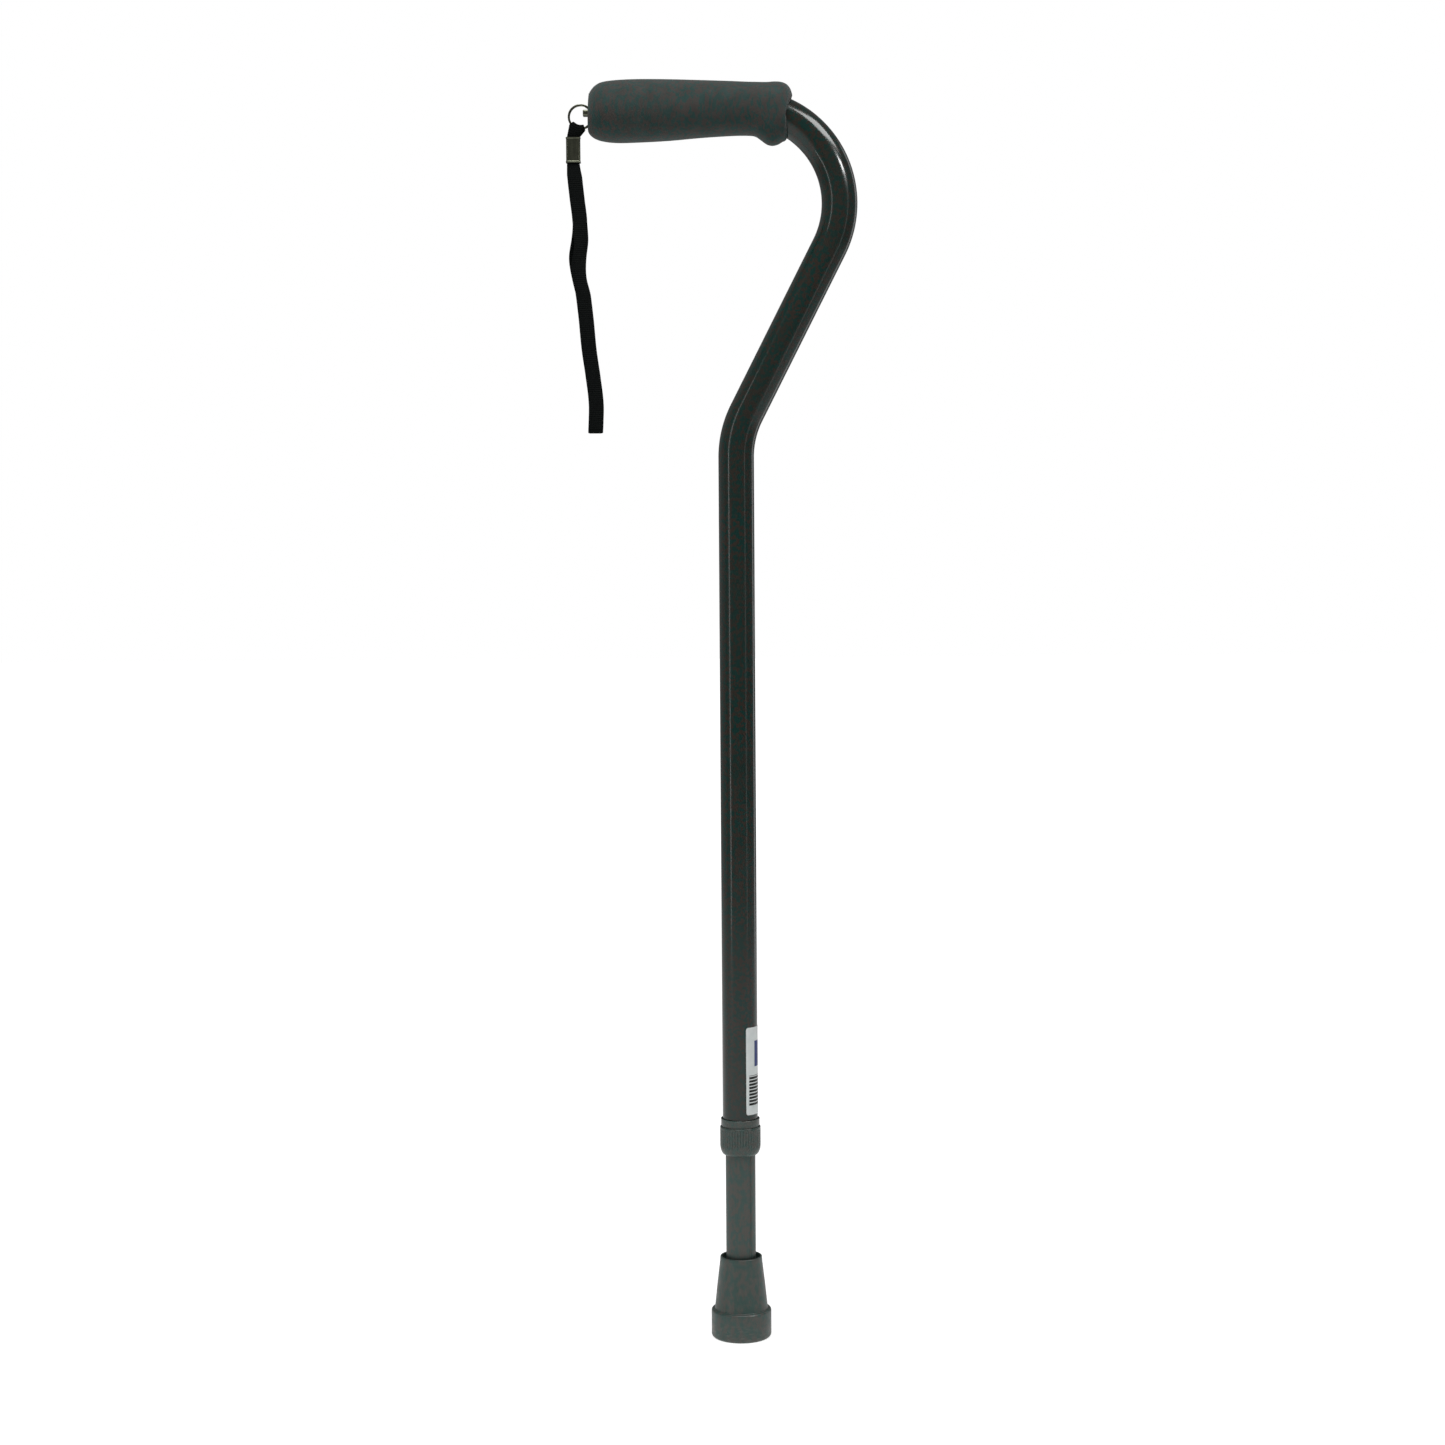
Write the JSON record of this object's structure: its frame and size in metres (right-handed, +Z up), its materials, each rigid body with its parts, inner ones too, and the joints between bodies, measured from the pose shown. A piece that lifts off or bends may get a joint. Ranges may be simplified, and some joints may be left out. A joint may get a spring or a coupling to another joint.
{
  "type": "walking cane",
  "caption": "Single-tip walking cane with an offset bent shaft, foam handle grip, wrist strap, telescoping height adjustment and locking collar.",
  "frame": {"origin": "centre of the rubber tip's flat underside, on the shaft's axis, where the cane meets the floor", "axes": "+Z up the straight shaft, -X towards the free end of the grip with the wrist strap, +Y the side with the row of height holes"},
  "size_m": [0.1819, 0.039, 0.7964],
  "materials": {
    "gloss_black": "gloss black coating on aluminium tube",
    "satin_grey": "satin dark grey anodised",
    "foam": "matte charcoal closed-cell foam",
    "rubber": "matte dark grey moulded rubber",
    "collar_plastic": "semi-matte dark grey moulded plastic",
    "inner_plastic": "matte black moulded plastic",
    "nickel": "bright nickel plate",
    "steel": "plain zinc-plated steel",
    "webbing": "black woven nylon",
    "label": "satin white paper sticker, no text"
  },
  "bodies": {
    "lower_shaft": {"lower_tube": "satin_grey", "ferrule": "rubber", "ferrule_washer": "steel", "glide_cap": "inner_plastic", "button_spring": "steel"},
    "upper_shaft": {"upper_tube": "gloss_black", "foam_grip": "foam", "end_plug": "inner_plastic", "strap_stud": "nickel", "stud_washer": "steel", "stud_push_nut": "steel", "collar_sleeve": "collar_plastic", "shaft_label": "label"},
    "snap_button": {"snap_button": "steel"},
    "collet": {"collet": "inner_plastic"},
    "lock_nut": {"lock_nut": "collar_plastic"},
    "split_ring": {"split_ring": "nickel"},
    "wrist_strap": {"wrist_strap": "webbing", "strap_crimp": "nickel"}
  },
  "joints": [
    {"name": "height_adjust", "type": "slide", "parent": "lower_shaft", "child": "upper_shaft", "axis": [0, 0, 1], "range_m": [-0.0254, 0.2032], "deforming": ["snap_button", "button_spring"]},
    {"name": "button_press", "type": "slide", "parent": "lower_shaft", "child": "snap_button", "axis": [0, -1, 0], "range_m": [0, 0.0043], "stiffness_N_per_m": 1500, "deforming": ["button_spring"]},
    {"name": "collet_slide", "type": "slide", "parent": "upper_shaft", "child": "collet", "axis": [0, 0, 1], "range_m": [-0.0019, 0]},
    {"name": "nut_turn", "type": "hinge", "parent": "collet", "child": "lock_nut", "pos_m": [0, 0, 0.12745], "axis": [0, 0, 1], "range_deg": [-270, 0]},
    {"name": "ring_swing", "type": "hinge", "parent": "upper_shaft", "child": "split_ring", "pos_m": [-0.0891, 0, 0.7758], "axis": [0, 0, 1], "range_deg": [-25, 25]},
    {"name": "strap_swing", "type": "hinge", "parent": "split_ring", "child": "wrist_strap", "pos_m": [-0.0958, 0, 0.7736], "axis": [0, 1, 0], "range_deg": [-8, 60]}
  ],
  "couplings": [
    {"joint": "collet_slide", "follows": "nut_turn", "m_per_rad": 0.00039789}
  ]
}
